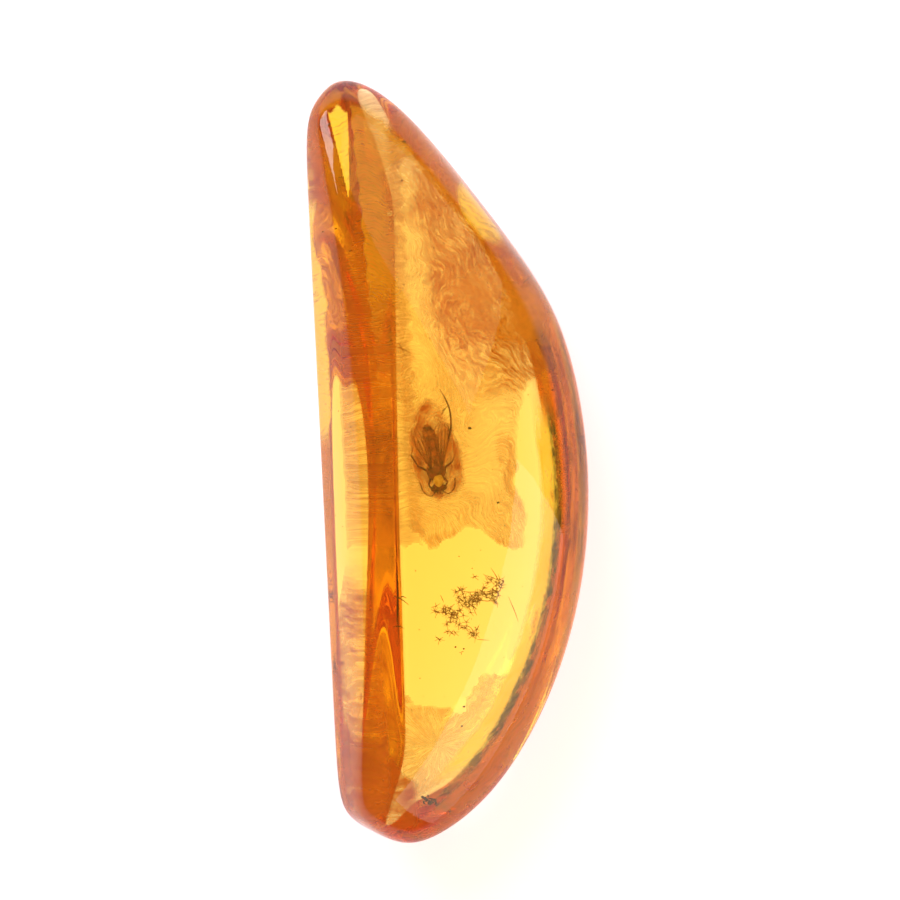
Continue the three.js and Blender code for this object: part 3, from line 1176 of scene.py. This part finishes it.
# ---- the studio
def plain_floor():
    """White paper on a light table, with a painted pool of extra light in an oval under the stone. In
    metres.
    """
    half = 0.6
    z = -0.00002
    oval_shift = 0.001
    oval_radii = (0.0052, 0.016)
    mesh = bpy.data.meshes.new("floor")
    corners = [(-half, -half, z), (half, -half, z), (half, half, z), (-half, half, z)]
    mesh.from_pydata(corners, [], [(0, 1, 2, 3)])
    floor = bpy.data.objects.new("floor", mesh)
    put_in_scene(floor)
    made = Nodes("floor_paper")
    middle = made.make("ShaderNodeVectorMath", operation="ADD")
    made.put(middle.inputs[0], made.place)
    middle.inputs[1].default_value = (oval_shift, 0, 0)
    scaled = made.stretched(middle.outputs[0], (1 / oval_radii[0], 1 / oval_radii[1], 0))
    length = made.make("ShaderNodeVectorMath", operation="LENGTH")
    made.put(length.inputs[0], scaled)
    # painted pool of light: the paper emits 1.08 in the oval under the stone and 0.65 around it
    glow = made.make("ShaderNodeMapRange", interpolation_type="SMOOTHSTEP")
    made.fill(glow, Value=length.outputs["Value"], From_Min=0.85, From_Max=1.15,
              To_Min=1.08, To_Max=0.65)
    mesh.materials.append(made.set(Base_Color=(0.53, 0.45, 0.6, 1), Roughness=1.0,
                                   Specular_IOR_Level=0.0, Emission_Color=(0.99, 0.99, 1.1, 1),
                                   Emission_Strength=glow.outputs[0]))


def softbox(name, place, width, height, watts, colour=(1, 1, 1)):
    data = bpy.data.lights.new(name, "AREA")
    data.shape = "RECTANGLE"
    data.size, data.size_y = width, height
    data.energy = watts
    data.color = colour
    lamp = bpy.data.objects.new(name, data)
    lamp.location = place
    lamp.rotation_mode = "QUATERNION"
    lamp.rotation_quaternion = (-Vector(place)).to_track_quat("-Z", "Y")
    lamp.visible_camera = False
    put_in_scene(lamp)


def studio():
    """A tent that is white low down and warm overhead, with three softboxes."""
    world = bpy.data.worlds.new("white_tent")
    bpy.context.scene.world = world
    world.use_nodes = True
    nodes, links = world.node_tree.nodes, world.node_tree.links
    coords = nodes.new("ShaderNodeTexCoord")
    split = nodes.new("ShaderNodeSeparateXYZ")
    ramp = nodes.new("ShaderNodeValToRGB")
    elements = ramp.color_ramp.elements
    elements.new(0.9)
    stops = [(0.12, (0.8, 0.8, 0.8)), (0.24, (0.34, 0.26, 0.12)), (0.9, (1.0, 0.62, 0.08))]
    for element, (position, colour) in zip(elements, stops):
        element.position = position
        element.color = (*colour, 1)
    links.new(coords.outputs["Generated"], split.inputs[0])
    links.new(split.outputs["Z"], ramp.inputs[0])
    links.new(ramp.outputs[0], nodes["Background"].inputs["Color"])
    nodes["Background"].inputs["Strength"].default_value = 1.32
    softbox("key_softbox", (-0.26, 0.46, 0.4), 0.42, 0.42, 3.2, (0.86, 0.93, 1.0))
    softbox("face_softbox", (0.34, 0.34, 0.46), 0.46, 0.46, 0.3)
    softbox("side_softbox", (0.355, -0.248, 0.25), 0.5, 0.34, 0.75)
    bpy.context.scene.view_settings.view_transform = "Standard"


def camera():
    """Straight down on the stone, turned so that the stone leans a little to the left."""
    data = bpy.data.cameras.new("camera")
    data.lens = 200
    data.sensor_width = 36
    data.clip_start, data.clip_end = 0.01, 5
    lens_height = 0.2378
    lean_deg = 3.6
    lean = radians(lean_deg)
    right = Vector((cos(lean), -sin(lean), 0))
    up = Vector((sin(lean), cos(lean), 0))
    back = Vector((0, 0, 1))
    aim = right * (-0.12 * MM) + up * (0.31 * MM) + Vector((0, 0, 1.2 * MM))
    seen_from = bpy.data.objects.new("camera", data)
    seen_from.matrix_world = Matrix((right, up, back)).transposed().to_4x4()
    seen_from.location = aim + back * lens_height
    put_in_scene(seen_from)
    bpy.context.scene.camera = seen_from


def light_paths():
    """Light is reflected many times inside the stone before it leaves."""
    bounces = 18
    cycles = bpy.context.scene.cycles
    cycles.max_bounces = bounces
    cycles.transmission_bounces = bounces
    cycles.glossy_bounces = bounces
    cycles.transparent_max_bounces = bounces


camera()
make_stone()
make_films()
make_insect()
make_stellate_hairs()
make_dirt()
plain_floor()
studio()
light_paths()
